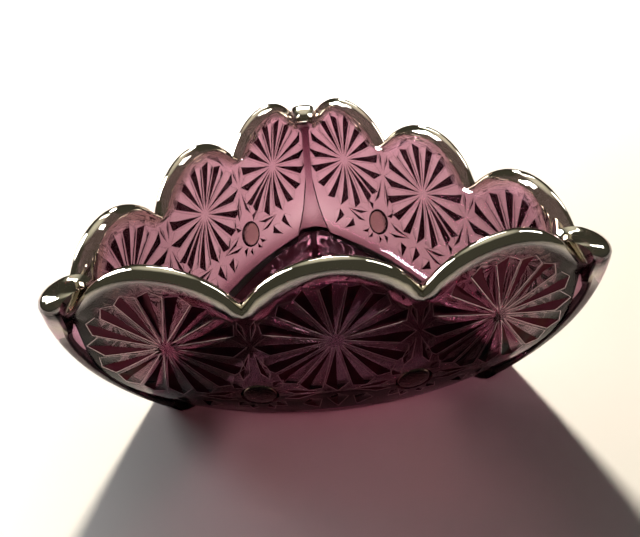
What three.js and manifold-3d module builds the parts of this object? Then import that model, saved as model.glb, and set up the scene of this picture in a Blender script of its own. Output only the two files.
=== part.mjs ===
// A three-sided pressed-glass dish: bowed walls with three starbursts each, a thick scalloped rim,
// and a rib at each corner that ends in an ear. It is one piece of glass.
// Millimetres. The foot stands on z = 0, the axis of the dish is Z, and one wall faces -Y.
import * as THREE from "three";
import { mergeVertices } from "three/addons/utils/BufferGeometryUtils.js";
import Module from "manifold-3d";

const SIDES = 3;
const CORNER = Math.PI / SIDES; // angle from the middle of a side to its corner

// Outside: distance from the axis to the middle of a side, and to its corners, at mid height.
const WALL_MID = 56.5;
const WALL_CORNER = 92.8;
const WALL_MID_DRAW = 7.3; // how much smaller both are at the foot
const WALL_CORNER_DRAW = 22;
const SHOULDER_Z = 41; // the wall rises straight above this height
const DRAW_POWER = 2.2;

// Corner ribs and ears.
const RIB_HALF = 3.3;
const RIB_SPREAD = 5.5; // how much wider the rib is, each way, where it runs out at the foot
const RIB_TIP = 97;
const RIB_DRAW = 25.5;
const KEEL_TOP = 58; // the rib's outer edge is upright above this height
const KEEL_POWER = 2.15;
const EAR_Z = 61.8;
const EAR_WIDEN = 2.5; // how much wider the ear is, each way, than the rib below it
const EAR_DEEPEN = 1.3;
const EAR_FROM = 44;
const EAR_FULL = 54;

// Starbursts and the scallops that run round them.
const PITCH = 51;
const STAR_Z = 41;
const STAR_RAYS = 16;
const RAY_START = 2.2;
const RAY_TIP = 24.3;
const RAY_HALF = 2.1;
const RAY_DEPTH = 1.5;
const RAY_WIDEST = 0.88; // how far out along a ray it is widest
const POINTED_WIDEST = 0.76; // the same for the rays that point at a neighbouring star
const SCALLOP_R = 29.3;
const RIM_HALF_HEIGHT = 3.9;
const RIM_PROUD = 1.1; // the rim stands this far outside the patterned wall

// Inside.
const INNER_MID = 50.9;
const INNER_CORNER = 83;
const INNER_MID_DRAW = 8.3;
const INNER_CORNER_DRAW = 15;
const INNER_PANEL_END = 66; // how far along a side the inside follows the outside's columns
const INNER_CORNER_WIDTH = 5;
const INNER_CHAMFER = 0.5; // share of that width which the flat across the inner corner takes
const FLOOR_Z = 6.8;
const FILLET = 6.5;

// Foot and base.
const FOOT_TOP = 4;
const FOOT_ROUND = 1.2;

// Small relief between the starbursts.
const BUTTON_R = 5.4;
const BUTTON_Z = 16.6;
const BUTTON_PROUD = 0.8;
const LOZENGE_HALF = 1.3;
const LOZENGE_DEPTH = 1;

// How finely the surface is divided.
const PANEL_STEPS = 24;
const NOSE_STEPS = 4;
const RIM_STEPS = 6;
const FILLET_STEPS = 3;
const SIMPLIFY = 0.06;

// 1 at the foot, 0 from the shoulder up.
const taper = (z) => Math.max(0, 1 - z / SHOULDER_Z) ** DRAW_POWER;

// Radius of the arc through a side's middle, at distance mid, and its two corners, at radius corner.
function bowRadius(mid, corner) {
  const a = mid - corner * Math.cos(CORNER);
  return (a * a + (corner * Math.sin(CORNER)) ** 2) / (2 * a);
}

// Outward distance of a bowed side at s along it.
function bowed(mid, corner, s) {
  const r = bowRadius(mid, corner);
  return mid - r + Math.sqrt(r * r - s * s);
}

const wallMid = (z) => WALL_MID - WALL_MID_DRAW * taper(z);
const wallCorner = (z) => WALL_CORNER - WALL_CORNER_DRAW * taper(z);

const ribHalf = (z) => RIB_HALF + RIB_SPREAD * taper(z);

// 0 below the ear, 1 where it is full.
const ear = (z) => THREE.MathUtils.smoothstep(z, EAR_FROM, EAR_FULL);

// How far along a side the flank of the rib leaves the wall.
const ribFoot = (corner, z) => {
  const r = corner - ribHalf(z) * 0.8;
  return r * Math.sin(CORNER) - ribHalf(z) * Math.cos(CORNER);
};

// Height of the scalloped rim at s along a side.
const VALLEY_Z = STAR_Z + Math.sqrt(SCALLOP_R ** 2 - (PITCH / 2) ** 2);
function rimHeight(s) {
  const centre = PITCH * Math.round(Math.min(Math.abs(s) / PITCH, 1));
  const off = Math.min(Math.abs(Math.abs(s) - centre), PITCH / 2);
  return Math.max(STAR_Z + Math.sqrt(SCALLOP_R ** 2 - off ** 2), VALLEY_Z);
}

// One column of the surface: the place s along a panel, or a step over the nose of the rib.
const panelEnd = ribFoot(WALL_CORNER, SHOULDER_Z);
const columns = [];
for (let side = 0; side < SIDES; side++) {
  for (let i = 0; i <= PANEL_STEPS; i++) {
    const s = panelEnd * ((2 * i) / PANEL_STEPS - 1);
    columns.push({ side, s, nose: null });
  }
  for (let i = 0; i <= NOSE_STEPS; i++) {
    columns.push({ side, s: null, nose: 1 - (2 * i) / NOSE_STEPS });
  }
}

// Point at s along a side and d outward from the axis.
function onSide(side, s, d, z) {
  const turn = -Math.PI / 2 + (side * 2 * Math.PI) / SIDES;
  const [nx, ny] = [Math.cos(turn), Math.sin(turn)];
  return new THREE.Vector3(d * nx - s * ny, d * ny + s * nx, z);
}

// Point at radius r and t across the corner that follows a side.
function onCorner(side, r, t, z) {
  const s = r * Math.sin(CORNER) + t * Math.cos(CORNER);
  const d = r * Math.cos(CORNER) - t * Math.sin(CORNER);
  return onSide(side, s, d, z);
}

// Outer surface in a column, at height z and standing out by proud.
function outer(col, z, proud = 0) {
  const mid = wallMid(z) + proud;
  const corner = wallCorner(z) + proud * 1.2;
  if (col.nose === null) {
    const s = (col.s / panelEnd) * ribFoot(corner, z);
    return onSide(col.side, s, bowed(mid, corner, s), z);
  }
  const keel = RIB_TIP - RIB_DRAW * Math.max(0, 1 - z / KEEL_TOP) ** KEEL_POWER;
  const around = (col.nose * Math.PI) / 2;
  const depth = RIB_HALF + EAR_DEEPEN * ear(z);
  const reach = keel + Math.min(proud, 0) - depth * (1 - Math.cos(around));
  const half = ribHalf(z) + EAR_WIDEN * ear(z);
  return onCorner(col.side, reach, -Math.sin(around) * half, z);
}

// Inner surface in a column, at height z and moved inward by inset.
function inner(col, z, inset = 0) {
  const mid = INNER_MID - INNER_MID_DRAW * taper(z) - inset;
  const corner = INNER_CORNER - INNER_CORNER_DRAW * taper(z) - inset * 1.3;
  const end = corner * Math.sin(CORNER);
  const near = end - INNER_CORNER_WIDTH;
  if (col.nose === null) {
    const a = Math.abs(col.s);
    const squeezed = PITCH + ((a - PITCH) * (INNER_PANEL_END - PITCH)) / (panelEnd - PITCH);
    const s = (Math.sign(col.s) * Math.min(a, squeezed) * near) / INNER_PANEL_END;
    return onSide(col.side, s, bowed(mid, corner, s), z);
  }
  const s = end - INNER_CORNER_WIDTH * Math.max(Math.abs(col.nose), INNER_CHAMFER);
  const d = bowed(mid, corner, s);
  const here = onSide(col.side, s, d, z);
  const there = onSide((col.side + 1) % SIDES, -s, d, z);
  return here.lerp(there, 0.5 - 0.5 * THREE.MathUtils.clamp(col.nose / INNER_CHAMFER, -1, 1));
}

// Rows of the surface from the middle of the base, over the rim, to the middle of the floor.
const rows = [() => new THREE.Vector3(0, 0, 0)];
rows.push((c) => outer(c, 0, -FOOT_ROUND).setZ(0));
rows.push((c) => outer(c, FOOT_ROUND));
rows.push((c) => outer(c, FOOT_TOP));
for (const t of [0.14, 0.3, 0.5, 0.72])
  rows.push((c) => {
    const top = rimAt(c) - RIM_HALF_HEIGHT - 3;
    return outer(c, FOOT_TOP + t * (top - FOOT_TOP));
  });
rows.push((c) => outer(c, rimAt(c) - RIM_HALF_HEIGHT - 2.2));
for (let i = 0; i <= RIM_STEPS; i++)
  rows.push((c) => {
    const a = (Math.PI * i) / RIM_STEPS;
    const z = rimAt(c) - RIM_HALF_HEIGHT;
    const out = outer(c, z, RIM_PROUD);
    const middle = out.clone().lerp(inner(c, z), 0.5);
    out.sub(middle).multiplyScalar(Math.cos(a)).add(middle);
    return out.setZ(z + RIM_HALF_HEIGHT * Math.sin(a));
  });
for (const t of [0.3, 0.6, 0.84])
  rows.push((c) => {
    const top = rimAt(c) - RIM_HALF_HEIGHT;
    return inner(c, top + t * (FLOOR_Z + FILLET - top));
  });
for (let i = 0; i <= FILLET_STEPS; i++)
  rows.push((c) => {
    const a = (i * Math.PI) / 2 / FILLET_STEPS;
    const z = FLOOR_Z + FILLET * (1 - Math.sin(a));
    return inner(c, z, FILLET * (1 - Math.cos(a)));
  });
rows.push(() => new THREE.Vector3(0, 0, FLOOR_Z));

function rimAt(col) {
  return col.nose === null ? rimHeight(col.s) : EAR_Z;
}

// The blank: a lathe whose points are moved onto the three-sided surface.
function blank() {
  const profile = rows.map((_, j) => {
    const a = (Math.PI * j) / (rows.length - 1);
    return new THREE.Vector2(Math.abs(Math.sin(a)) < 1e-9 ? 0 : Math.sin(a), -Math.cos(a));
  });
  const lathe = new THREE.LatheGeometry(profile, columns.length);
  const at = lathe.attributes.position;
  for (let i = 0; i <= columns.length; i++)
    rows.forEach((row, j) => {
      const p = row(columns[i % columns.length]);
      at.setXYZ(i * rows.length + j, p.x, p.y, p.z);
    });
  lathe.deleteAttribute("normal");
  lathe.deleteAttribute("uv");
  return lathe;
}

const wasm = await Module();
wasm.setup();

// A three.js geometry as a manifold-3d solid.
function solid(geometry) {
  const g = mergeVertices(geometry, 1e-4);
  const index = [...g.index.array];
  const kept = [];
  for (let i = 0; i < index.length; i += 3) {
    const [a, b, c] = index.slice(i, i + 3);
    if (a !== b && b !== c && a !== c) kept.push(a, b, c);
  }
  return new wasm.Manifold(
    new wasm.Mesh({
      numProp: 3,
      vertProperties: new Float32Array(g.attributes.position.array),
      triVerts: new Uint32Array(kept),
    }),
  );
}

// A point of the patterned wall, and the direction straight out of it.
const wallPoint = (side, s, z) => onSide(side, s, bowed(wallMid(z), wallCorner(z), s), z);
function wallNormal(side, s, z) {
  const e = 0.5;
  const along = wallPoint(side, s + e, z).sub(wallPoint(side, s - e, z));
  const up = wallPoint(side, s, z + e).sub(wallPoint(side, s, z - e));
  return along.cross(up).normalize();
}

// A lozenge-shaped body laid on the wall from (s0, z0) to (s1, z1), half and depth at its widest.
function lozenge(side, s0, z0, s1, z1, half, depth, widest = 0.5) {
  const from = wallPoint(side, s0, z0);
  const to = wallPoint(side, s1, z1);
  const normal = wallNormal(side, s0 + (s1 - s0) * widest, z0 + (z1 - z0) * widest);
  const axis = to.clone().sub(from);
  const length = axis.length();
  axis.normalize();
  const across = normal.clone().cross(axis).normalize();
  const out = axis.clone().cross(across).normalize();
  const g = new THREE.OctahedronGeometry(1);
  g.deleteAttribute("normal");
  g.deleteAttribute("uv");
  g.scale(length / 2, half, depth);
  const at = g.attributes.position;
  for (let i = 0; i < at.count; i++)
    if (Math.abs(at.getX(i)) < 1e-6) at.setX(i, length * (widest - 0.5));
  const place = new THREE.Matrix4().makeBasis(axis, across, out);
  place.setPosition(from.lerp(to, 0.5));
  g.applyMatrix4(place);
  return solid(g);
}

const cuts = [];
const raised = [];
for (let side = 0; side < SIDES; side++) {
  for (const centre of [-PITCH, 0, PITCH])
    for (let i = 0; i < STAR_RAYS; i++) {
      const a = (i * 2 * Math.PI) / STAR_RAYS;
      const [ds, dz] = [Math.cos(a), Math.sin(a)];
      const pointed = i % (STAR_RAYS / 4) === 0 && i !== STAR_RAYS / 4;
      cuts.push(
        lozenge(
          side,
          centre + RAY_START * ds,
          STAR_Z + RAY_START * dz,
          centre + RAY_TIP * ds,
          STAR_Z + RAY_TIP * dz,
          RAY_HALF,
          RAY_DEPTH,
          pointed ? POINTED_WIDEST : RAY_WIDEST,
        ),
      );
    }
  for (const s of [-PITCH / 2, PITCH / 2]) {
    const [top, low] = [STAR_Z + 8.6, BUTTON_Z + BUTTON_R + 1.5];
    cuts.push(lozenge(side, s, STAR_Z + 2.2, s, top, LOZENGE_HALF, LOZENGE_DEPTH));
    cuts.push(lozenge(side, s, STAR_Z - 2.4, s, low, LOZENGE_HALF, LOZENGE_DEPTH, 0.7));
    for (const way of [-1, 1]) {
      const [near, far] = [s + way * (BUTTON_R + 1.5), s + way * (PITCH / 2 - 3)];
      cuts.push(lozenge(side, near, BUTTON_Z, far, BUTTON_Z, LOZENGE_HALF, LOZENGE_DEPTH, 0.3));
    }
    const dome = new THREE.SphereGeometry(1, 16, 8);
    dome.deleteAttribute("normal");
    dome.deleteAttribute("uv");
    const out = wallNormal(side, s, BUTTON_Z);
    const across = wallPoint(side, s + 1, BUTTON_Z).sub(wallPoint(side, s - 1, BUTTON_Z));
    across.normalize();
    const up = out.clone().cross(across);
    dome.scale(BUTTON_R, BUTTON_R, BUTTON_PROUD * 2);
    dome.applyMatrix4(
      new THREE.Matrix4()
        .makeBasis(across, up, out)
        .setPosition(wallPoint(side, s, BUTTON_Z).addScaledVector(out, -BUTTON_PROUD)),
    );
    raised.push(solid(dome));
  }
}

// Simplifying leaves a few flat slivers of no volume beside the dish, so only the dish is kept.
const [glassBody] = solid(blank())
  .add(wasm.Manifold.union(raised))
  .subtract(wasm.Manifold.union(cuts))
  .simplify(SIMPLIFY)
  .decompose()
  .sort((a, b) => b.volume() - a.volume());

// A manifold-3d solid as a three.js geometry.
function geometryOf(body) {
  const mesh = body.getMesh();
  const n = mesh.numProp;
  const points = new Float32Array(mesh.numVert * 3);
  for (let i = 0; i < mesh.numVert; i++)
    points.set(mesh.vertProperties.subarray(i * n, i * n + 3), i * 3);
  return new THREE.BufferGeometry()
    .setAttribute("position", new THREE.BufferAttribute(points, 3))
    .setIndex(new THREE.BufferAttribute(mesh.triVerts, 1));
}

const amethyst = new THREE.MeshStandardMaterial({
  color: 0x7a3f5e,
  roughness: 0.08,
  metalness: 0,
});

const bowl = new THREE.Mesh(geometryOf(glassBody), amethyst);
bowl.name = "bowl";

const group = new THREE.Group();
group.add(bowl);
export default group;
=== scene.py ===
"""A three-sided pressed-glass dish: bowed walls with three starbursts each, corner ribs that end in
ears, and a thick scalloped rim with a smoky lustre. Lengths in the shape code are millimetres."""

import math

import bmesh
import bpy
import numpy as np
from mathutils import Matrix, Vector
from mathutils.geometry import delaunay_2d_cdt


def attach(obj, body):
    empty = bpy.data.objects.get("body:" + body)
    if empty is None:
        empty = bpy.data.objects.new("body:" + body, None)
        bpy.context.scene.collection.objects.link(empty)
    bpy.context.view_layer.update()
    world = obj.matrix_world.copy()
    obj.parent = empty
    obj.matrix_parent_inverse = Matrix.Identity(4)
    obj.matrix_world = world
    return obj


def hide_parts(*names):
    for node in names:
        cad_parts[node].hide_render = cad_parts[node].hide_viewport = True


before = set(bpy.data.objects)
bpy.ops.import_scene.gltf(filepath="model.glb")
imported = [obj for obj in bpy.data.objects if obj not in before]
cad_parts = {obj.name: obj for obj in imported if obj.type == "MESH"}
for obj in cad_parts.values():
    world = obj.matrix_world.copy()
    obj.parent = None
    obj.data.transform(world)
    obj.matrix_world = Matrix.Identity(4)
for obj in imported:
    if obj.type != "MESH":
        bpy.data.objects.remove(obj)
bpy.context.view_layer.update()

MM = 0.001
SIDES = 3
CORNER = math.pi / SIDES  # angle from the middle of a side to its corner

# Outside of the wall, in its middle and at its corners: distance from the axis from the shoulder
# up, and how much nearer the axis it is at the bottom.
WALL_MID, WALL_MID_DRAW = 56.5, 7.3
WALL_CORNER, WALL_CORNER_DRAW = 92.8, 22.0
SHOULDER_Z, DRAW_POWER = 41.0, 2.2
CORNER_PROUD = 1.2  # how far the corners move out when the middle moves out by 1

# Corner ribs and ears.
RIB_HALF, RIB_SPREAD = 3.3, 5.5  # half the width at the top, and what is added at the bottom
RIB_TIP, RIB_DRAW = 97.0, 25.5
KEEL_TOP, KEEL_POWER = 58.0, 2.15  # the rib's outer edge is upright above this height
NOSE_DROP = 0.8  # how far in from the wall's corner the flanks start, in half widths
EAR_Z = 61.8
EAR_WIDEN = 2.5
EAR_ROUND = 1.3  # how much deeper the ear is rounded than the rib under it
EAR_FROM, EAR_FULL = 44.0, 54.0
NOSE_STEPS = 12
RIB_SHADE_PAINT, RIB_SHADE_PAINT_FROM = 0.9, 9.0  # strength of the painted shade on the ribs, and where it starts
# The part of each rib that is not painted dark as shade, measured across it from -1 at the
# flank on the next wall to 1 at the flank on its own: right, back, left.
RIB_CLEAR = [(-0.15, 0.83), (-0.83, 0.83), (-0.83, 0.15)]

# Starbursts, scallops and rim. The scallops and the rim's lower edges are arcs round the stars.
PITCH, STAR_Z = 51.0, 41.0
SCALLOP_R, RIM_EDGE_R = 29.3, 22.7
VALLEY_Z = STAR_Z + math.sqrt(SCALLOP_R**2 - (PITCH / 2) ** 2)
VALLEY_ROUND = 0.3  # how much the valleys between scallops are filled in
BAND_VALLEY_Z = 52.0  # lowest that the rim's outer edge goes
INNER_EDGE_Z = VALLEY_Z - 1.2  # lowest that its inner edge goes
RIM_ROUND = 4.6  # height of the rim's rounded top
LEAST_FLANK = 0.22  # least share of the rim's height that is under its rounded top
RIM_PROUD = 1.1
INNER_EDGE_PROUD = -0.6
SCALLOP_STEPS = 20
ROLL_STEPS = 16

# Inside.
INNER_MID, INNER_MID_DRAW = 50.9, 8.3
INNER_CORNER, INNER_CORNER_DRAW = 83.0, 15.0
INNER_CORNER_INSET = 1.3  # how far the inner corners move in when the middle moves in by 1
INNER_PANEL_END = 66.0
INNER_CORNER_WIDTH = 5.0
INNER_CHAMFER = 0.5  # share of that width which the flat across the inner corner takes
INNER_SHARES = (0.12, 0.26, 0.42, 0.58, 0.74, 0.88)  # rows down the inner wall, rim to fillet
FLOOR_Z, FILLET = 6.8, 6.5
FILLET_STEPS = 8

# Foot and base.
FOOT_TOP, FOOT_MID, FOOT_ROUND = 4.0, 2.6, 1.2
FOOT_STEPS = 4
RING_WIDTH, RECESS = 7.0, 0.8
BASE_RAY_START, BASE_RAY_WIDEST, BASE_RAY_TIP, BASE_RAY_HALF = 3.0, 27.0, 37.0, 2.3

# Relief of the pattern. A ray starts as a point, is widest near its end and comes to a point again.
RAYS = 16
RAY_START, RAY_WIDEST, RAY_TIP, RAY_HALF = 2.2, 22.4, 24.8, 4.05
POINTED_WIDEST = 20.0  # of the rays that point at a neighbouring star
RAY_SHARES = (1.0, 0.96, 0.92, 0.88, 0.8, 0.7, 0.55)  # lengths tried until a ray fits
FAN_WIDTH = 0.9  # width of a ray in the fans under the stars, against one in a star
EDGE_WIDTH, EDGE_SLOPE = 0.2, 0.5  # the softened edge of a V-shaped cut
STEEP, GENTLE, CUT_DEPTH = 0.205, 0.19, 2.4  # slopes of a cut's two flanks, and its deepest
DEEPEST_BACK = 0.4  # how far before its widest place a cut is deepest, in half widths
# In the plane of each wall, the side on which a cut's flank is steeper and painted dark as
# shade: front, right, left.
SHADE_PAINT_WAYS = [(-0.75, -0.65), (-0.75, -0.65), (0.75, -0.65)]
BUTTON_R, BUTTON_Z = 5.4, 16.6
BUTTON_PROUD, BUTTON_SUNK = 0.7, 0.25  # its middle above the wall, and its edge below it
BUTTON_MOAT, MOAT_DEPTH = 0.9, 0.6
BUTTON_SIDES, BUTTON_RINGS = 28, (0.88, 0.66, 0.4)
FOOT_ROOM, RIB_ROOM, RIM_ROOM = 1.2, 0.6, 0.25  # least gap between a cut and each
FAN_ROOM, BUTTON_ROOM = 0.2, 0.3  # added to the foot's gap for a fan, and the gap round a moat

# Mesh points of the relief.
LINE_STEP, WALL_SPACING, DISC_SPACING = 2.6, 3.2, 6.0
LINE_GAP, MOAT_GAP = 0.35, 0.6  # from the grid to a line, in spacings, and to a moat
ONE_PIECE = 1e9  # a step longer than any line
NEAR = 0.01


# ---------------------------------------------------------------- surfaces of the blank


def taper(z):
    """1 at the foot, 0 from the shoulder up."""
    return np.maximum(0.0, 1.0 - np.asarray(z, float) / SHOULDER_Z) ** DRAW_POWER


def bowed(mid, corner, s):
    """Outward distance, at s along it, of a side bowed from its middle to its two corners."""
    a = mid - corner * math.cos(CORNER)
    r = (a * a + (corner * math.sin(CORNER)) ** 2) / (2 * a)
    return mid - r + np.sqrt(r * r - s * s)


def wall_mid(z):
    return WALL_MID - WALL_MID_DRAW * taper(z)


def wall_corner(z):
    return WALL_CORNER - WALL_CORNER_DRAW * taper(z)


def rib_half(z):
    return RIB_HALF + RIB_SPREAD * taper(z)


def ear(z):
    """0 below the ear, 1 where it is full."""
    t = np.clip((np.asarray(z, float) - EAR_FROM) / (EAR_FULL - EAR_FROM), 0, 1)
    return t * t * (3 - 2 * t)


def panel_end(z, proud=0.0):
    """How far along a side the flank of the rib leaves the wall."""
    half = rib_half(z)
    r = wall_corner(z) + proud * CORNER_PROUD - half * NOSE_DROP
    return r * math.sin(CORNER) - half * math.cos(CORNER)


PANEL_TOP_END = float(panel_end(SHOULDER_Z))


def outer_panel(s, z, proud=0.0):
    """Outer wall as (s, d, z), for s measured at the shoulder's width."""
    s = s / PANEL_TOP_END * panel_end(z, proud)
    d = bowed(wall_mid(z) + proud, wall_corner(z) + proud * CORNER_PROUD, s)
    return np.array([s, d, z])


def outer_nose(nose, z, proud=0.0):
    """Outer face of the rib, nose 1 at one flank to -1 at the other, as (s, d, z)."""
    around = nose * math.pi / 2
    r = RIB_TIP - RIB_DRAW * max(0.0, 1 - z / KEEL_TOP) ** KEEL_POWER + min(proud, 0.0)
    r -= (RIB_HALF + EAR_ROUND * ear(z)) * (1 - math.cos(around))
    t = -math.sin(around) * (rib_half(z) + EAR_WIDEN * ear(z))
    s = r * math.sin(CORNER) + t * math.cos(CORNER)
    d = r * math.cos(CORNER) - t * math.sin(CORNER)
    return np.array([s, d, z])


def turn_to_next(p):
    """A point given on the next side, as seen from this one."""
    s, d, z = p
    c, w = math.cos(2 * CORNER), math.sin(2 * CORNER)
    return np.array([s * c + d * w, -s * w + d * c, z])


def inner_wall(column, z, inset=0.0):
    """Inner wall of a column as (s, d, z)."""
    mid = INNER_MID - INNER_MID_DRAW * taper(z) - inset
    corner = INNER_CORNER - INNER_CORNER_DRAW * taper(z) - inset * INNER_CORNER_INSET
    end = corner * math.sin(CORNER)
    near = end - INNER_CORNER_WIDTH
    kind, at = column
    if kind == "next":
        return turn_to_next(inner_wall(("panel", at), z, inset))
    if kind == "panel":
        a = abs(at)
        squeezed = PITCH + (a - PITCH) * (INNER_PANEL_END - PITCH) / (PANEL_TOP_END - PITCH)
        s = math.copysign(min(a, squeezed), at) * near / INNER_PANEL_END
        return np.array([s, bowed(mid, corner, s), z])
    s = end - INNER_CORNER_WIDTH * max(abs(at), INNER_CHAMFER)
    here = np.array([s, bowed(mid, corner, s), z])
    there = turn_to_next(here * [-1, 1, 1])
    share = 0.5 - 0.5 * min(max(at / INNER_CHAMFER, -1), 1)
    return here + (there - here) * share


def outer_wall(column, z, proud=0.0):
    """Outer wall or rib of a column as (s, d, z)."""
    kind, at = column
    if kind == "next":
        return turn_to_next(outer_panel(at, z, proud))
    return outer_panel(at, z, proud) if kind == "panel" else outer_nose(at, z, proud)


# ---------------------------------------------------------------- the rim's three edge lines


def arc_height(off, radius, lowest):
    """Height of an arc round a star, off along from its middle, never under lowest."""
    off = min(abs(off), radius)
    return max(STAR_Z + math.sqrt(radius**2 - off**2), lowest)


def scallop_columns():
    """One entry a column: where the rim's top, outer edge and inner edge are, as (s, z) each."""
    widest = math.asin(PITCH / 2 / SCALLOP_R)
    last = math.asin((PANEL_TOP_END - PITCH) / SCALLOP_R)
    out = []
    for centre in (-PITCH, 0.0, PITCH):
        low = -last if centre < 0 else -widest
        high = last if centre > 0 else widest
        for i in range(SCALLOP_STEPS + 1):
            if i == 0 and out:
                continue
            phi = low + (high - low) * i / SCALLOP_STEPS
            reach = abs(phi) / (abs(low) if phi < 0 else abs(high))
            top_s = SCALLOP_R * math.sin(phi)
            top_z = max(STAR_Z + SCALLOP_R * math.cos(phi), VALLEY_Z + VALLEY_ROUND)
            # The edges run on smaller arcs, but end right under the valleys.
            pull = reach**4
            low_s = (RIM_EDGE_R * math.sin(phi)) * (1 - pull) + top_s * pull
            out.append(
                {
                    "column": ("panel", centre + low_s),
                    "top": (centre + top_s, top_z),
                    "outer": (centre + low_s, arc_height(low_s, RIM_EDGE_R, BAND_VALLEY_Z)),
                    "inner": (centre + low_s, arc_height(low_s, RIM_EDGE_R, INNER_EDGE_Z)),
                }
            )
    return out


panel_columns = scallop_columns()
nose_columns = [
    {
        "column": ("nose", 1 - 2 * i / NOSE_STEPS),
        "top": (None, EAR_Z),
        "outer": (None, BAND_VALLEY_Z),
        "inner": (None, INNER_EDGE_Z),
    }
    for i in range(NOSE_STEPS + 1)
]
next_column = panel_columns[0] | {"column": ("next", panel_columns[0]["column"][1])}
flank_columns = [panel_columns[-1]] + nose_columns + [next_column]
sector = panel_columns + nose_columns + [next_column]


def rim_rows():
    """Rows over the rim from its outer to its inner edge; each maps a column to (s, d, z)."""

    def at(entry, side, t):
        """Both faces of the wall, at share t of the way from one edge up to the rim's top."""
        kind, where = entry["column"]
        (s0, z0), (s1, z1) = entry[side], entry["top"]
        z = z0 + (z1 - z0) * t
        if kind != "nose":
            where = s0 + (s1 - s0) * t
        proud = 0.0 if kind == "nose" else RIM_PROUD
        column = (kind, where)
        return outer_wall(column, z, proud), inner_wall(column, z, INNER_EDGE_PROUD)

    def roll(entry, angle):
        side = "outer" if angle <= math.pi / 2 else "inner"
        z0, z1 = entry[side][1], entry["top"][1]
        centre = max(LEAST_FLANK, 1 - RIM_ROUND / (z1 - z0))
        t = centre + (1 - centre) * math.sin(angle)
        out, inn = at(entry, side, t)
        share = (1 + math.cos(angle)) / 2
        p = inn + (out - inn) * share
        p[2] = out[2]
        return p

    rows = [lambda e: outer_wall(e["column"], e["outer"][1])]
    for i in range(ROLL_STEPS + 1):
        rows.append(lambda e, a=math.pi * i / ROLL_STEPS: roll(e, a))
    rows.append(lambda e: inner_wall(e["column"], e["inner"][1]))
    return rows


def inner_rows():
    """Rows down the inner wall and round its fillet to the edge of the floor."""
    rows = []
    for t in INNER_SHARES:
        rows.append(
            lambda e, t=t: inner_wall(
                e["column"], e["inner"][1] + t * (FLOOR_Z + FILLET - e["inner"][1])
            )
        )
    for i in range(FILLET_STEPS + 1):
        a = i * math.pi / (2 * FILLET_STEPS)
        rows.append(
            lambda e, a=a: inner_wall(
                e["column"], FLOOR_Z + FILLET * (1 - math.sin(a)), FILLET * (1 - math.cos(a))
            )
        )
    return rows


def foot_rows():
    """Rows from the foot band's top down round the foot's edge to the inner side of its ring."""
    rows = [lambda e, z=z: outer_wall(e["column"], z) for z in (FOOT_TOP, FOOT_MID, FOOT_ROUND)]
    for i in range(1, FOOT_STEPS + 1):
        a = i * math.pi / (2 * FOOT_STEPS)
        z, inset = FOOT_ROUND * (1 - math.sin(a)), FOOT_ROUND * (1 - math.cos(a))
        rows.append(lambda e, z=z, i=inset: outer_wall(e["column"], z, -i))
    rows.append(lambda e: outer_wall(e["column"], 0.0, -RING_WIDTH + RECESS))
    rows.append(lambda e: outer_wall(e["column"], 0.0, -RING_WIDTH) + np.array([0, 0, RECESS]))
    return rows


# ---------------------------------------------------------------- the cut pattern, flat in (s, z)


def placed(x, z, angle):
    """Turns (r, q), along and across a line from (x, z), into (s, z) points."""
    c, w = math.cos(angle), math.sin(angle)
    return lambda r, q: (x + r * c - q * w, z + r * w + q * c)


def kite(x, z, angle, start, widest, tip, half, shade_paint_way=(1, 0)):
    """A cut with a gentle flank and a steeper one nearer the given way, painted dark as shade.

    It runs out from (x, z) and is widest at widest. Gives its outline, the inside of its softened
    edge, its shade-painted flank, its creases, and a function for its height."""
    at = placed(x, z, angle)
    side = 1 if math.cos(angle) * shade_paint_way[1] - math.sin(angle) * shade_paint_way[0] > 0 else -1
    corners = [at(start, 0), at(widest, -half), at(tip, 0), at(widest, half)]
    lean = (STEEP - GENTLE) / (STEEP + GENTLE)
    middle = at(widest - DEEPEST_BACK * half, side * lean * half)
    shrink = 1 - EDGE_WIDTH / (half * (1 - lean))
    edge = [
        (middle[0] + (px - middle[0]) * shrink, middle[1] + (pz - middle[1]) * shrink)
        for px, pz in corners
    ]
    # The steep flank, which is painted dark as shade.
    dark = [corners[0], corners[3 if side > 0 else 1], corners[2], middle]

    def height(points):
        c, w = math.cos(angle), math.sin(angle)
        dx, dz = points[:, 0] - x, points[:, 1] - z
        r, q = dx * c + dz * w, side * (dz * c - dx * w)
        deep = np.full(len(points), CUT_DEPTH)
        for way, slope in ((1, STEEP), (-1, GENTLE)):
            for end in (start, tip):
                run = widest - end
                away = (half * (r - end) / run - way * q) * abs(run) / math.hypot(run, half)
                soft = np.clip(away, 0, EDGE_WIDTH)
                flank = EDGE_SLOPE * soft + slope * (away - soft)
                deep = np.minimum(deep, np.where(away > 1e-3, flank, 0))
        return -deep

    lines = [[p, middle] for p in corners]
    return {"outline": corners, "edge": edge, "dark": dark, "lines": lines, "height": height}


def dense(line, step, closed):
    """The same line with points no further apart than step."""
    ends = line[1:] + (line[:1] if closed else [])
    out = []
    for a, b in zip(line, ends):
        n = max(1, math.ceil(math.dist(a, b) / step))
        out.extend((a[0] + (b[0] - a[0]) * i / n, a[1] + (b[1] - a[1]) * i / n) for i in range(n))
    return out if closed else out + [line[-1]]


def circle(x, z, r, n):
    """n points round a circle."""
    return [
        (x + r * math.cos(2 * math.pi * i / n), z + r * math.sin(2 * math.pi * i / n))
        for i in range(n)
    ]


def inside(points, loop):
    """Which points lie inside a closed loop."""
    x, z = points[:, 0], points[:, 1]
    hit = np.zeros(len(points), bool)
    for (x0, z0), (x1, z1) in zip(loop, loop[1:] + loop[:1]):
        crosses = (z0 > z) != (z1 > z)
        with np.errstate(divide="ignore", invalid="ignore"):
            at = (x1 - x0) * (z - z0) / (z1 - z0) + x0
        hit ^= crosses & (x < at)
    return hit


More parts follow.
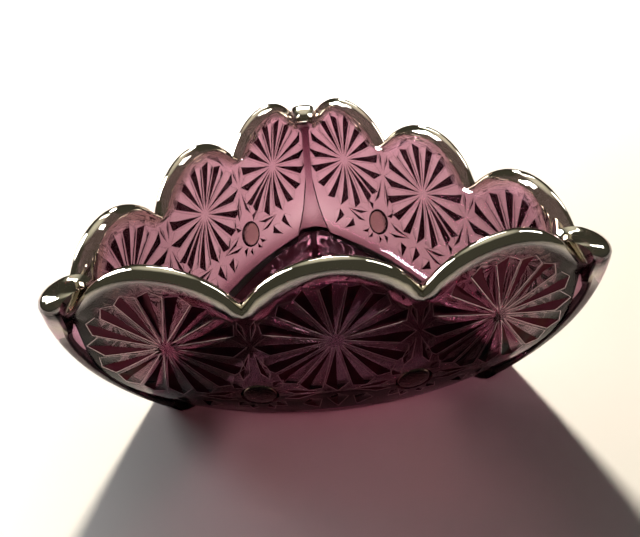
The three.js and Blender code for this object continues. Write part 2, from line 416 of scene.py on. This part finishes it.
def distance(points, loops):
    """Distance of each point to the nearest segment of the closed loops."""
    a = np.array([p for loop in loops for p in loop])
    b = np.array([p for loop in loops for p in loop[1:] + loop[:1]])
    best = np.full(len(points), 1e9)
    for start in range(0, len(points), 400):
        p = points[start : start + 400, None, :]
        ab = (b - a)[None]
        t = ((p - a[None]) * ab).sum(-1) / np.maximum((ab * ab).sum(-1), 1e-12)
        gap = p - (a[None] + np.clip(t, 0, 1)[..., None] * ab)
        best[start : start + 400] = np.sqrt((gap * gap).sum(-1).min(1))
    return best


def hexagonal(lo, hi, step):
    """Points on a hexagonal grid over a box."""
    rows = np.arange(lo[1], hi[1], step * math.sqrt(3) / 2)
    points = []
    for j, z in enumerate(rows):
        xs = np.arange(lo[0] + (j % 2) * step / 2, hi[0], step)
        points.append(np.column_stack([xs, np.full(len(xs), z)]))
    return np.vstack(points)


def relief(border, cuts, buttons, spacing):
    """Triangulates the border, with cuts in it and buttons standing in round moats.

    Gives points, their heights and grain, the faces, and for each face whether it is painted
    dark as shade and whether it is a ridge with a painted metal sheen."""
    outlines = [c["outline"] for c in cuts]
    verts, edges = [], []

    def add(line, closed, step=LINE_STEP):
        line = dense(line, step, closed)
        first = len(verts)
        verts.extend(Vector(p) for p in line)
        edges.extend((first + i, first + i + 1) for i in range(len(line) - 1))
        if closed:
            edges.append((first + len(line) - 1, first))

    add(border, True, ONE_PIECE)
    for c in cuts:
        add(c["outline"], True)
        add(c["edge"], True)
        for line in c["lines"]:
            add(line, False)
    for x, z in buttons:
        for r in (BUTTON_R + BUTTON_MOAT, BUTTON_R + 0.5 * BUTTON_MOAT, BUTTON_R):
            add(circle(x, z, r, BUTTON_SIDES), True, ONE_PIECE)
        for share in BUTTON_RINGS:
            sides = max(8, round((BUTTON_SIDES - 2) * share))
            add(circle(x, z, BUTTON_R * share, sides), True, ONE_PIECE)
        verts.append(Vector((x, z)))

    lo, hi = np.array(border).min(0), np.array(border).max(0)
    grid = hexagonal(lo, hi, spacing)
    grid = grid[inside(grid, border)]
    in_cut = np.zeros(len(grid), bool)
    for loop in outlines:
        in_cut |= inside(grid, loop)
    grid = grid[~in_cut]
    grid = grid[distance(grid, outlines + [border]) > LINE_GAP * spacing]
    for x, z in buttons:
        away = np.hypot(grid[:, 0] - x, grid[:, 1] - z)
        grid = grid[away > BUTTON_R + BUTTON_MOAT + MOAT_GAP]
    verts.extend(Vector(p) for p in grid)

    got = delaunay_2d_cdt(verts, edges, [], 1, 1e-4)
    points = np.array([tuple(v) for v in got[0]])
    faces = [tuple(f) for f in got[2]]
    middles = np.array([points[list(f)].mean(axis=0) for f in faces])
    ridge, painted_shade = np.zeros((2, len(faces)), bool)
    height = np.zeros(len(points))
    for c in cuts:
        height = np.minimum(height, c["height"](points))
        # The softened edge band is a ridge with a painted metal sheen.
        ridge |= inside(middles, c["outline"]) & ~inside(middles, c["edge"])
        # Faces on the steep flank, inside the softened edge, are painted dark as shade.
        painted_shade |= inside(middles, c["dark"]) & inside(middles, c["edge"])
    grain = np.zeros(len(points))
    for x, z in buttons:
        away = np.hypot(points[:, 0] - x, points[:, 1] - z)
        moat = (away > BUTTON_R + NEAR) & (away < BUTTON_R + BUTTON_MOAT - NEAR)
        height[moat] = -MOAT_DEPTH
        dome = away <= BUTTON_R + NEAR
        rise = np.sqrt(np.clip(1 - (away[dome] / (BUTTON_R * 1.02)) ** 2, 0, 1))
        height[dome] = -BUTTON_SUNK + (BUTTON_PROUD + BUTTON_SUNK) * rise
        grain[dome] = 1.0
        # The moat round a button is painted dark as shade.
        away = np.hypot(middles[:, 0] - x, middles[:, 1] - z)
        painted_shade |= (away > BUTTON_R) & (away < BUTTON_R + BUTTON_MOAT)
    return points, height, grain, faces, np.column_stack([painted_shade & ~ridge, ridge]).astype(float)


def panel_pattern(shade_paint_way):
    """The cuts of the pattern on one wall, and where its buttons are."""
    low = FOOT_TOP + FOOT_ROOM
    cuts = []

    def fits(c):
        for x, z in c["outline"]:
            side_room = float(panel_end(z)) - RIB_ROOM - abs(x)
            nearest = PITCH * round(max(-1.0, min(1.0, x / PITCH)))
            top = arc_height(x - nearest, RIM_EDGE_R, BAND_VALLEY_Z)
            if z < low or side_room < 0 or z > top - RIM_ROOM:
                return False
        return True

    def ray(x, z, angle, start, widest, tip, half):
        """Adds the cut at the largest of its shares that stays on the wall."""
        for share in RAY_SHARES:
            near = start + (widest - start) * share
            far = start + (tip - start) * share
            c = kite(x, z, angle, start, near, far, half * (0.5 + 0.5 * share), shade_paint_way)
            if fits(c):
                cuts.append(c)
                return

    # The stars. Low on the wall under each, three rays of the star that would be there.
    quarter = RAYS // 4
    for cx in (-PITCH, 0.0, PITCH):
        for i in range(RAYS):
            pointed = i % quarter == 0 and i != quarter
            widest = POINTED_WIDEST if pointed else RAY_WIDEST
            ray(cx, STAR_Z, 2 * math.pi * i / RAYS, RAY_START, widest, RAY_TIP, RAY_HALF)
        for i in (quarter - 1, quarter, quarter + 1):
            a = 2 * math.pi * i / RAYS
            start = (low + FAN_ROOM + PITCH - STAR_Z) / math.sin(a)
            ray(cx, STAR_Z - PITCH, a, start, RAY_WIDEST, RAY_TIP, FAN_WIDTH * RAY_HALF)

    # Small cuts in mirrored pairs, with sizes chosen to fill the gaps that the stars leave.
    buttons = [(-PITCH / 2, BUTTON_Z), (PITCH / 2, BUTTON_Z)]
    clear = BUTTON_R + BUTTON_MOAT + BUTTON_ROOM
    up, down = math.pi / 2, -math.pi / 2
    for s, button_z in buttons:
        for lean in (-1, 1):
            out = 0.0 if lean > 0 else math.pi
            # Between two stars, one up into the valley of the rim and one down to the button.
            ray(s + lean * 0.6, STAR_Z + 2.2, up - lean * 0.24, 0, 6.4, 9.2, 1.0)
            ray(s + lean * 0.7, STAR_Z - 2.4, down + lean * 0.27, 0, 9.5, 13.6, 1.7)
            for tilt in (-1, 1):
                # Beside the button, and slanting away from it.
                beside = s + lean * 7.6
                ray(beside, button_z + tilt * 2.6, out - lean * tilt * 0.2, 0, 4.5, 13.5, 1.7)
                ray(s, button_z, out + lean * tilt * math.pi / 4, clear, 9.0, 12.0, 2.2)
            # Under the button.
            ray(s, button_z, down + lean * 0.34, clear, 8.8, 11.4, 1.8)
    return cuts, buttons


# ---------------------------------------------------------------- putting the mesh together

POINT_MASKS = ("lustre", "grain")
# The face masks: painted shade, and the ridges' painted metal sheen.
FACE_MASKS = ("painted_shade", "ridge")
RIB_LUSTRE, EAR_LUSTRE = 0.1, 0.7  # on a rib, and how much more there is on its ear
RIM_LUSTRE = {0: 0.0, 1: 0.0, 2: 0.2, 3: 0.6, ROLL_STEPS + 1: 0.8, ROLL_STEPS + 2: 0.5}  # by row
RIB_ROWS = 18
NORMAL_STEP = 0.05  # half the span over which the wall's slope is taken
MERGE, TINY = 0.012 * MM, 0.001 * MM  # points that close become one, edges that short none
SHARP_DEGREES = 34


class Builder:
    """Points in side coordinates, faces, the masks of each point and those of each face."""

    def __init__(self):
        self.points, self.faces, self.masks, self.flanks = [], [], [], []

    def grid(self, rows, columns, lustre, painted_shade=lambda j, here, there: 0.0):
        """Adds a grid. lustre takes a point's row and entry, and the painted shade on a face takes
        the face's row and two entries.
        """
        base = len(self.points)
        for j, row in enumerate(rows):
            for entry in columns:
                self.points.append(row(entry))
                self.masks.append((lustre(j, entry), 0.0))
        n = len(columns)
        for j in range(len(rows) - 1):
            for i in range(n - 1):
                a = base + j * n + i
                self.faces.append((a, a + 1, a + 1 + n, a + n))
                self.flanks.append((painted_shade(j, columns[i], columns[i + 1]), 0.0))

    def mesh(self, points, faces, grain, flanks):
        """Adds a triangulated surface, which has no lustre."""
        base = len(self.points)
        self.points.extend(points)
        self.masks.extend((0.0, g) for g in grain)
        self.faces.extend(tuple(base + i for i in f) for f in faces)
        self.flanks.extend(flanks)


def is_nose(entry):
    return entry["column"][0] == "nose"


def rib_shade_paint(z, here, there, rib_clear):
    """Painted shade on one side of the rib and where its flanks meet the walls, above the foot."""
    if z < RIB_SHADE_PAINT_FROM or not (is_nose(here) and is_nose(there)):
        return 0.0
    across = (here["column"][1] + there["column"][1]) / 2
    return 0.0 if rib_clear[0] < across < rib_clear[1] else RIB_SHADE_PAINT


def build_sector(shade_paint_way, rib_clear):
    """One wall and the rib after it."""
    b = Builder()

    # The patterned wall, cut flat and laid on the bowed surface.
    top = [e["outer"] for e in panel_columns]
    end_z = top[-1][1]
    heights = [FOOT_TOP + (end_z - FOOT_TOP) * i / RIB_ROWS for i in range(RIB_ROWS + 1)]
    narrow = float(panel_end(FOOT_TOP)) / PANEL_TOP_END
    bottom = [(e["column"][1] * narrow, FOOT_TOP) for e in panel_columns]
    right = [(float(panel_end(z)), z) for z in heights[1:-1]]
    left = [(-s, z) for s, z in right]
    border = bottom + right + top[::-1] + left[::-1]
    cuts, buttons = panel_pattern(shade_paint_way)
    points, height, grain, faces, flanks = relief(border, cuts, buttons, WALL_SPACING)

    def wall(s, z):
        return np.array([s, bowed(wall_mid(z), wall_corner(z), s), z])

    laid = []
    for (s, z), h in zip(points, height):
        p = wall(s, z)
        if h:
            along = wall(s + NORMAL_STEP, z) - wall(s - NORMAL_STEP, z)
            up = wall(s, z + NORMAL_STEP) - wall(s, z - NORMAL_STEP)
            n = np.cross(up, along)
            n /= np.linalg.norm(n)
            if n[1] < 0:
                n = -n
            p = p + n * h
        laid.append(p)
    b.mesh(laid, faces, grain, flanks)

    # The rib, the rim, the inside, the foot.
    b.grid(
        [lambda e, z=z: outer_wall(e["column"], z) for z in heights],
        flank_columns,
        lambda j, e: RIB_LUSTRE + EAR_LUSTRE * float(ear(heights[j])) if is_nose(e) else 0.0,
        # The rib's faces painted dark as shade.
        lambda j, here, there: rib_shade_paint(heights[j], here, there, rib_clear),
    )
    b.grid(
        rim_rows(),
        sector,
        lambda j, e: RIB_LUSTRE + EAR_LUSTRE if is_nose(e) and j == 0 else RIM_LUSTRE.get(j, 1.0),
    )
    edge = [lambda e: inner_wall(e["column"], e["inner"][1])]
    b.grid(edge + inner_rows(), sector, lambda j, e: 0.0)
    b.grid(foot_rows()[::-1], sector, lambda j, e: 0.0)
    return b


def floor_and_base():
    """The floor and the starred base, each as world points, faces, grain and flanks."""
    last_inner, last_foot = inner_rows()[-1], foot_rows()[-1]
    ray = (BASE_RAY_START, BASE_RAY_WIDEST, BASE_RAY_TIP, BASE_RAY_HALF)
    star = [kite(0, 0, 2 * math.pi * i / RAYS, *ray) for i in range(RAYS)]
    out = []
    for row, z, cuts in ((last_inner, FLOOR_Z, []), (last_foot, RECESS, star)):
        border = []
        for k in range(SIDES):
            for e in sector:
                x, y, _ = to_world(row(e), k)
                if not border or math.hypot(x - border[-1][0], y - border[-1][1]) > 1e-6:
                    border.append((x, y))
        if math.hypot(border[0][0] - border[-1][0], border[0][1] - border[-1][1]) < 1e-6:
            border.pop()
        points, height, grain, faces, flanks = relief(border, cuts, [], DISC_SPACING)
        out.append((np.column_stack([points, z - height]), faces, grain, flanks * 0))
    return out


def to_world(p, side):
    """A point in side coordinates as world (x, y, z)."""
    s, d, z = p
    a = -math.pi / 2 + side * 2 * math.pi / SIDES
    nx, ny = math.cos(a), math.sin(a)
    return (d * nx - s * ny, d * ny + s * nx, z)


def build_dish():
    """The whole dish as one closed mesh, with its masks as attributes of the face corners."""
    verts, faces, masks, flanks = [], [], [], []
    for side in range(SIDES):
        b = build_sector(SHADE_PAINT_WAYS[side], RIB_CLEAR[side])
        base = len(verts)
        verts.extend(to_world(p, side) for p in b.points)
        faces.extend(tuple(base + i for i in f) for f in b.faces)
        masks.extend(b.masks)
        flanks.extend(b.flanks)
    for points, disc, grain, disc_flanks in floor_and_base():
        base = len(verts)
        verts.extend(tuple(p) for p in points)
        faces.extend(tuple(base + i for i in f) for f in disc)
        masks.extend((0.0, g) for g in grain)
        flanks.extend(disc_flanks)
    mesh = bpy.data.meshes.new("dish_glass")
    mesh.from_pydata([tuple(c * MM for c in v) for v in verts], [], faces)
    for m, name in enumerate(POINT_MASKS):
        layer = mesh.attributes.new(name, "FLOAT", "CORNER")
        layer.data.foreach_set("value", [masks[i][m] for f in faces for i in f])
    for m, name in enumerate(FACE_MASKS):
        layer = mesh.attributes.new(name, "FLOAT", "CORNER")
        layer.data.foreach_set("value", [float(w[m]) for f, w in zip(faces, flanks) for _ in f])
    obj = bpy.data.objects.new("dish_glass", mesh)
    bpy.context.scene.collection.objects.link(obj)
    bm = bmesh.new()
    bm.from_mesh(mesh)
    bmesh.ops.remove_doubles(bm, verts=bm.verts, dist=MERGE)
    bmesh.ops.dissolve_degenerate(bm, edges=bm.edges, dist=TINY)
    bmesh.ops.recalc_face_normals(bm, faces=bm.faces)
    open_edges = sum(1 for e in bm.edges if not e.is_manifold)
    print("dish: faces", len(bm.faces), "verts", len(bm.verts), "open or odd edges", open_edges)
    bm.to_mesh(mesh)
    bm.free()
    mesh.shade_smooth()
    mesh.set_sharp_from_angle(angle=math.radians(SHARP_DEGREES))
    weigh = obj.modifiers.new("weigh", "WEIGHTED_NORMAL")
    weigh.keep_sharp = True
    return obj


# ---------------------------------------------------------------- glass

IOR = 1.52
PETAL_TINT = (0.97, 0.90, 0.94, 1)
SHADE_PAINT_TINT, SHADE_PAINT_COVER = (0.05, 0.012, 0.02, 1), 0.85  # painted shade on cut flanks, moats and ribs, and how much glass it hides
RIDGE_SHEEN_TINT, RIDGE_SHEEN = (0.78, 0.48, 0.57, 1), 0.5  # a metal sheen on the softened cut edges, painted highlight lines
BUTTON_TINT = (0.40, 0.29, 0.24, 1)
LUSTRE_DARK, LUSTRE_PALE, LUSTRE_METAL = (0.26, 0.255, 0.18, 1), (0.80, 0.75, 0.64, 1), 0.86
LUSTRE_COLOUR_GAIN, LUSTRE_COLOUR_FROM = 1.6, -0.6  # its colour fades out sooner than its metal
SHINE_TINT = (0.24, 0.15, 0.19, 1)  # holds back reflections of the floor in the clear glass
ABSORB_COLOUR, ABSORB_DENSITY = (0.457, 0.173, 0.29, 1), 345.0
GLASS_ROUGH, GRAIN_ROUGH = 0.03, 0.2
SMOKE_SCALE, RIPPLE_SCALE, GRAIN_SCALE = 45, 160, 900  # of the noises, a metre
GRAIN_DEEP, BUMP_STRENGTH, BUMP_DISTANCE = 3.0, 0.25, 0.0003


def glass_material():
    """Amethyst glass, coloured through its volume, with the masks' lustre and grain, painted shade
    and a painted metal sheen on the cut edges.
    """
    mat = bpy.data.materials.new("amethyst_glass")
    mat.use_nodes = True
    tree = mat.node_tree
    tree.nodes.clear()
    link = tree.links.new

    def attribute(name):
        n = tree.nodes.new("ShaderNodeAttribute")
        n.attribute_name = name
        return n.outputs["Fac"]

    def math_node(kind, *values, clamp=False):
        n = tree.nodes.new("ShaderNodeMath")
        n.operation, n.use_clamp = kind, clamp
        for socket, value in zip(n.inputs, values):
            if isinstance(value, (int, float)):
                socket.default_value = value
            else:
                link(value, socket)
        return n.outputs["Value"]

    def mix(fac, a, b):
        n = tree.nodes.new("ShaderNodeMix")
        n.data_type = "RGBA"
        link(fac, n.inputs["Factor"])
        for name, value in (("A", a), ("B", b)):
            socket = next(i for i in n.inputs if i.name == name and i.type == "RGBA")
            if isinstance(value, tuple):
                socket.default_value = value
            else:
                link(value, socket)
        return next(o for o in n.outputs if o.type == "RGBA")

    def noise(scale, detail):
        n = tree.nodes.new("ShaderNodeTexNoise")
        n.inputs["Scale"].default_value = scale
        n.inputs["Detail"].default_value = detail
        link(place.outputs["Object"], n.inputs["Vector"])
        return n.outputs["Fac"]

    place = tree.nodes.new("ShaderNodeTexCoord")
    out = tree.nodes.new("ShaderNodeOutputMaterial")
    body = tree.nodes.new("ShaderNodeBsdfPrincipled")
    body.inputs["IOR"].default_value = IOR
    body.inputs["Transmission Weight"].default_value = 1.0
    body.inputs["Specular Tint"].default_value = SHINE_TINT

    lustre, grain, painted_shade = (attribute(name) for name in ("lustre", "grain", "painted_shade"))
    # A metal sheen on the cut edges: painted highlight lines.
    ridge = math_node("MULTIPLY", attribute("ridge"), RIDGE_SHEEN)
    light_and_dark = math_node("ADD", noise(SMOKE_SCALE, 3), 0.5, clamp=True)
    smoke = mix(light_and_dark, LUSTRE_DARK, LUSTRE_PALE)
    # Glass tint, painted shade over it, the cut edges' sheen colour, then the buttons' own tint.
    glass = mix(grain, mix(ridge, mix(painted_shade, PETAL_TINT, SHADE_PAINT_TINT), RIDGE_SHEEN_TINT), BUTTON_TINT)
    full = math_node("MULTIPLY_ADD", lustre, LUSTRE_COLOUR_GAIN, LUSTRE_COLOUR_FROM, clamp=True)
    link(mix(full, glass, smoke), body.inputs["Base Color"])

    metal = math_node("MULTIPLY", lustre, LUSTRE_METAL)
    # The painted shade is made metal too, so that it hides the glass behind it.
    metal = math_node("ADD", metal, math_node("MULTIPLY", painted_shade, SHADE_PAINT_COVER))
    link(math_node("ADD", metal, ridge, clamp=True), body.inputs["Metallic"])

    rough = math_node("MULTIPLY_ADD", grain, GRAIN_ROUGH, GLASS_ROUGH)
    link(rough, body.inputs["Roughness"])

    bump = tree.nodes.new("ShaderNodeBump")
    bump.inputs["Strength"].default_value = BUMP_STRENGTH
    bump.inputs["Distance"].default_value = BUMP_DISTANCE
    deep = math_node("MULTIPLY", grain, GRAIN_DEEP)
    fine = math_node("MULTIPLY", deep, noise(GRAIN_SCALE, 2))
    link(math_node("ADD", noise(RIPPLE_SCALE, 2), fine), bump.inputs["Height"])
    link(bump.outputs["Normal"], body.inputs["Normal"])

    absorb = tree.nodes.new("ShaderNodeVolumeAbsorption")
    absorb.inputs["Color"].default_value = ABSORB_COLOUR
    absorb.inputs["Density"].default_value = ABSORB_DENSITY
    link(body.outputs["BSDF"], out.inputs["Surface"])
    link(absorb.outputs["Volume"], out.inputs["Volume"])
    return mat


dish = build_dish()
dish.data.materials.append(glass_material())
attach(dish, "root")
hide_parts("bowl")

# ---------------------------------------------------------------- floor, light, camera, in metres

FLOOR_HALF, FLOOR_COLOUR, FLOOR_ROUGH = 3.0, (0.71, 0.665, 0.57, 1), 0.6
AIM = (0, 0, 0.04)
KEY_AT, KEY_AIM, KEY_SIZE = (0.02, 1.10, 0.72), (0, 0, 0.03), (0.15, 0.15)
KEY_POWER, KEY_COLOUR = 45.0, (1, 0.96, 0.90)
CARDS = (
    ("left_card", (-0.75, 0.10, 0.70), (0.20, 0.50), 3.0),
    ("right_card", (0.80, 0.15, 0.70), (0.20, 0.50), 3.0),
    ("back_card", (0.05, 0.95, 1.05), (0.80, 0.20), 3.0),
    ("fillet_card", (-0.69, 0.28, 0.46), (0.16, 0.44), 26.0),
)
ROOM_DARK, ROOM_PALE = (0.060, 0.058, 0.043, 1), (0.80, 0.77, 0.62, 1)
ROOM_WAY = (0.0, 0.34, 0.94)  # towards the paler side of the room
DARK_UP_TO, PALE_FROM = 0.78, 0.98  # along that way

# Turn, lift and roll are in degrees. The lens and its sensor are in millimetres.
CAMERA_AT = (-0.0074, -0.1724, 0.1524)
CAMERA_TURN, CAMERA_LIFT, CAMERA_ROLL = -2.2, 36.0, -4.3
LENS, SENSOR = 30.17, 36


def floor():
    """A plain pale floor under the foot."""
    mesh = bpy.data.meshes.new("floor")
    r = FLOOR_HALF
    mesh.from_pydata([(-r, -r, 0), (r, -r, 0), (r, r, 0), (-r, r, 0)], [], [(0, 1, 2, 3)])
    obj = bpy.data.objects.new("floor", mesh)
    bpy.context.scene.collection.objects.link(obj)
    mat = bpy.data.materials.new("floor_pale")
    mat.use_nodes = True
    body = mat.node_tree.nodes["Principled BSDF"]
    body.inputs["Base Color"].default_value = FLOOR_COLOUR
    body.inputs["Roughness"].default_value = FLOOR_ROUGH
    mesh.materials.append(mat)


def area_light(name, at, to, size, power, colour=(1, 1, 1), shine_only=False):
    """A lamp facing to. With shine_only it lights no rough surface and only shows in the glass."""
    data = bpy.data.lights.new(name, "AREA")
    data.shape = "RECTANGLE"
    data.size, data.size_y = size
    data.energy = power
    data.color = colour
    obj = bpy.data.objects.new(name, data)
    bpy.context.scene.collection.objects.link(obj)
    obj.location = at
    obj.visible_camera = False
    obj.visible_diffuse = not shine_only
    direction = Vector(to) - Vector(at)
    obj.rotation_euler = direction.to_track_quat("-Z", "Y").to_euler()


def room():
    """A dark room, paler high up behind the dish, which lights no rough surface."""
    world = bpy.data.worlds.new("room")
    bpy.context.scene.world = world
    world.use_nodes = True
    world.cycles_visibility.diffuse = False
    tree = world.node_tree
    coords = tree.nodes.new("ShaderNodeTexCoord")
    along = tree.nodes.new("ShaderNodeVectorMath")
    along.operation = "DOT_PRODUCT"
    along.inputs[1].default_value = ROOM_WAY
    ramp = tree.nodes.new("ShaderNodeValToRGB")
    stops = ((DARK_UP_TO, ROOM_DARK), (PALE_FROM, ROOM_PALE))
    for stop, (position, colour) in zip(ramp.color_ramp.elements, stops):
        stop.position, stop.color = position, colour
    tree.links.new(coords.outputs["Generated"], along.inputs[0])
    tree.links.new(along.outputs["Value"], ramp.inputs["Fac"])
    tree.links.new(ramp.outputs["Color"], tree.nodes["Background"].inputs["Color"])
    tree.nodes["Background"].inputs["Strength"].default_value = 1.0


def camera():
    """Looks down on the front wall from close by."""
    data = bpy.data.cameras.new("camera")
    data.sensor_width = SENSOR
    data.lens = LENS
    data.clip_start = 0.01
    obj = bpy.data.objects.new("camera", data)
    bpy.context.scene.collection.objects.link(obj)
    az, el, roll = (math.radians(v) for v in (CAMERA_TURN, CAMERA_LIFT, CAMERA_ROLL))
    back = Vector((math.sin(az) * math.cos(el), -math.cos(az) * math.cos(el), math.sin(el)))
    right = (-back).cross(Vector((0, 0, 1))).normalized()
    up = right.cross(-back)
    x = math.cos(roll) * right + math.sin(roll) * up
    y = -math.sin(roll) * right + math.cos(roll) * up
    m = Matrix((x, y, back)).transposed().to_4x4()
    m.translation = Vector(CAMERA_AT)
    obj.matrix_world = m
    bpy.context.scene.camera = obj


floor()
area_light("key", KEY_AT, KEY_AIM, KEY_SIZE, KEY_POWER, KEY_COLOUR)
for name, at, size, power in CARDS:
    area_light(name, at, AIM, size, power, shine_only=True)
room()
camera()
bpy.context.scene.view_settings.view_transform = "Standard"
